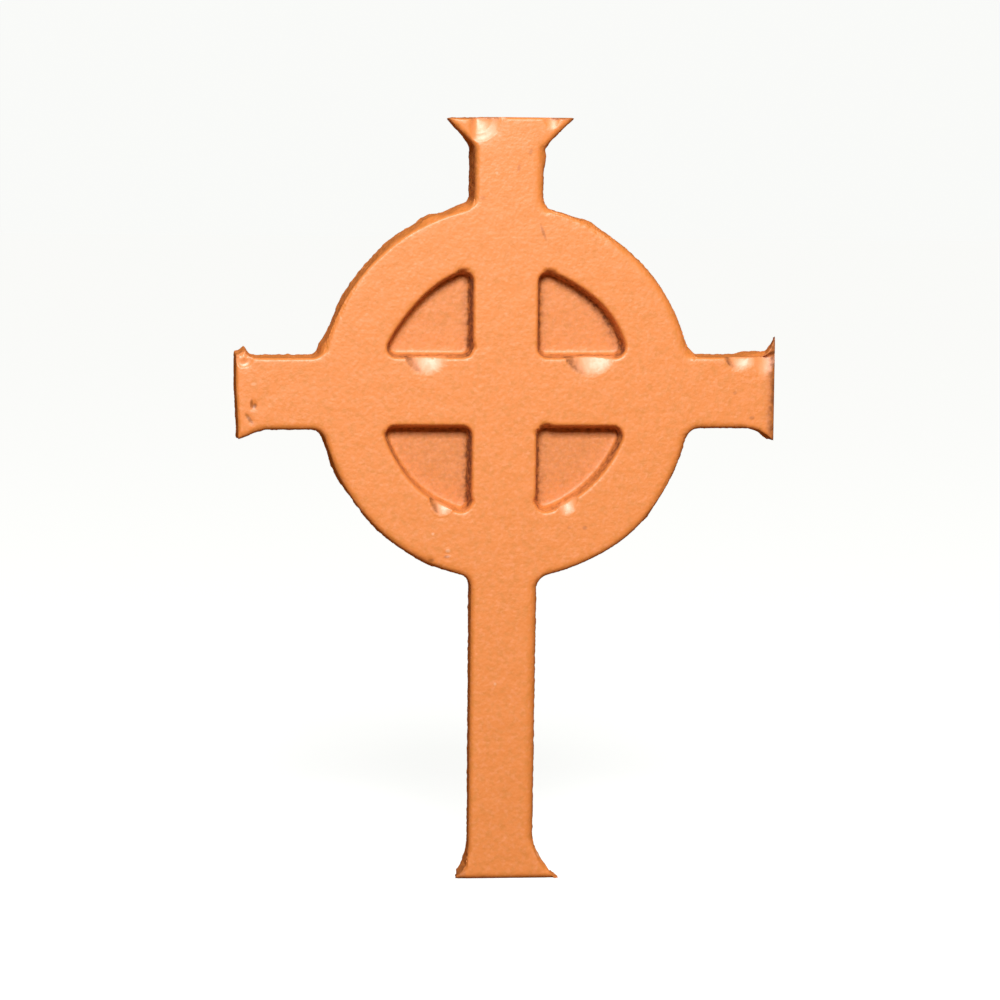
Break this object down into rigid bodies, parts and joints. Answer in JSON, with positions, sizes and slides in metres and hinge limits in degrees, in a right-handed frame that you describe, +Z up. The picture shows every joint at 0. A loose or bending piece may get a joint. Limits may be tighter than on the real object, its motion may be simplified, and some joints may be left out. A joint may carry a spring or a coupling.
{
  "type": "ringed cross memorial",
  "caption": "Cast ringed grave cross with flared flat-cut ends, a flat ring round the crossing and sunk quarter windows.",
  "frame": {"origin": "centre line of the shaft on the foot's flat underside, half way through the thickness", "axes": "+Z up the shaft, front face towards -Y, +X to the right as seen from the front"},
  "size_m": [0.424, 0.038, 0.599],
  "materials": {
    "coated_cast_stone": "satin terracotta coat over cast cement, fine orange-peel texture, air voids left open"
  },
  "bodies": {
    "root": {"ringed_cross": "coated_cast_stone"}
  },
  "joints": []
}
